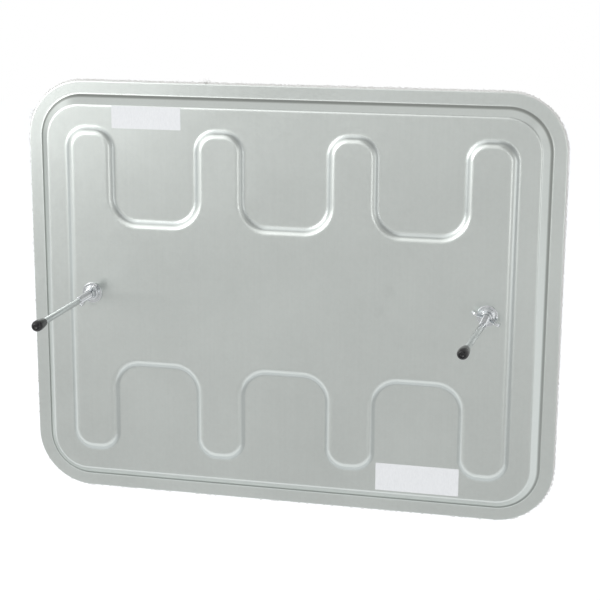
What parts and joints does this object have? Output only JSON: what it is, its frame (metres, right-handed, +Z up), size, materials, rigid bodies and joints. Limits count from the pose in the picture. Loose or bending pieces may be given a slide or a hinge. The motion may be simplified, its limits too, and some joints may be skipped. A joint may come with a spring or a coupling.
{
  "type": "duct access panel",
  "caption": "Sandwich duct access door: pressed outer and inner panels, fibre gasket, two capped studs with wing nuts and conical springs.",
  "frame": {"origin": "centre of the duct opening, on the outer face of the duct wall, where the back of the gasket seats", "axes": "+X to the right seen from outside the duct, +Z up, +Y into the duct"},
  "size_m": [0.4842, 0.1758, 0.3826],
  "materials": {
    "galvanised_sheet": "satin galvanised",
    "zinc_hardware": "bright zinc plate",
    "spring_steel": "bright wire",
    "fibre_tape": "woven ceramic fibre",
    "black_vinyl": "dip-moulded, slight sheen",
    "label_film": "blank white label"
  },
  "bodies": {
    "outer_door": {"outer_panel": "galvanised_sheet", "outer_gasket": "fibre_tape", "flat_washer_left": "zinc_hardware", "flat_washer_right": "zinc_hardware", "label_upper": "label_film", "label_lower": "label_film"},
    "inner_door": {"inner_panel": "galvanised_sheet", "stud_left": "zinc_hardware", "lock_washer_left": "zinc_hardware", "retaining_nut_left": "zinc_hardware", "spring_left": "spring_steel", "stud_right": "zinc_hardware", "lock_washer_right": "zinc_hardware", "retaining_nut_right": "zinc_hardware", "spring_right": "spring_steel"},
    "wing_nut_left": {"wing_nut_left": "zinc_hardware"},
    "end_cap_left": {"end_cap_left": "black_vinyl"},
    "wing_nut_right": {"wing_nut_right": "zinc_hardware"},
    "end_cap_right": {"end_cap_right": "black_vinyl"}
  },
  "joints": [
    {"name": "inner_slide", "type": "slide", "parent": "outer_door", "child": "inner_door", "axis": [0, 1, 0], "range_m": [-0.0052, 0.014], "deforming": ["spring_left", "spring_right"]},
    {"name": "wing_nut_left_turn", "type": "hinge", "parent": "outer_door", "child": "wing_nut_left", "pos_m": [-0.18, -0.021, 0], "axis": [0, 1, 0], "range_deg": [-3971, 1477]},
    {"name": "end_cap_left_pull", "type": "slide", "parent": "inner_door", "child": "end_cap_left", "axis": [0, -1, 0], "range_m": [0, 0.03]},
    {"name": "wing_nut_right_turn", "type": "hinge", "parent": "outer_door", "child": "wing_nut_right", "pos_m": [0.18, -0.021, 0], "axis": [0, 1, 0], "range_deg": [-3971, 1477]},
    {"name": "end_cap_right_pull", "type": "slide", "parent": "inner_door", "child": "end_cap_right", "axis": [-0.0523, -0.9986, 0], "range_m": [0, 0.03]}
  ],
  "couplings": [
    {"joint": "wing_nut_left_turn", "follows": "inner_slide", "rad_per_m": -4947.4},
    {"joint": "wing_nut_right_turn", "follows": "inner_slide", "rad_per_m": -4947.4}
  ]
}
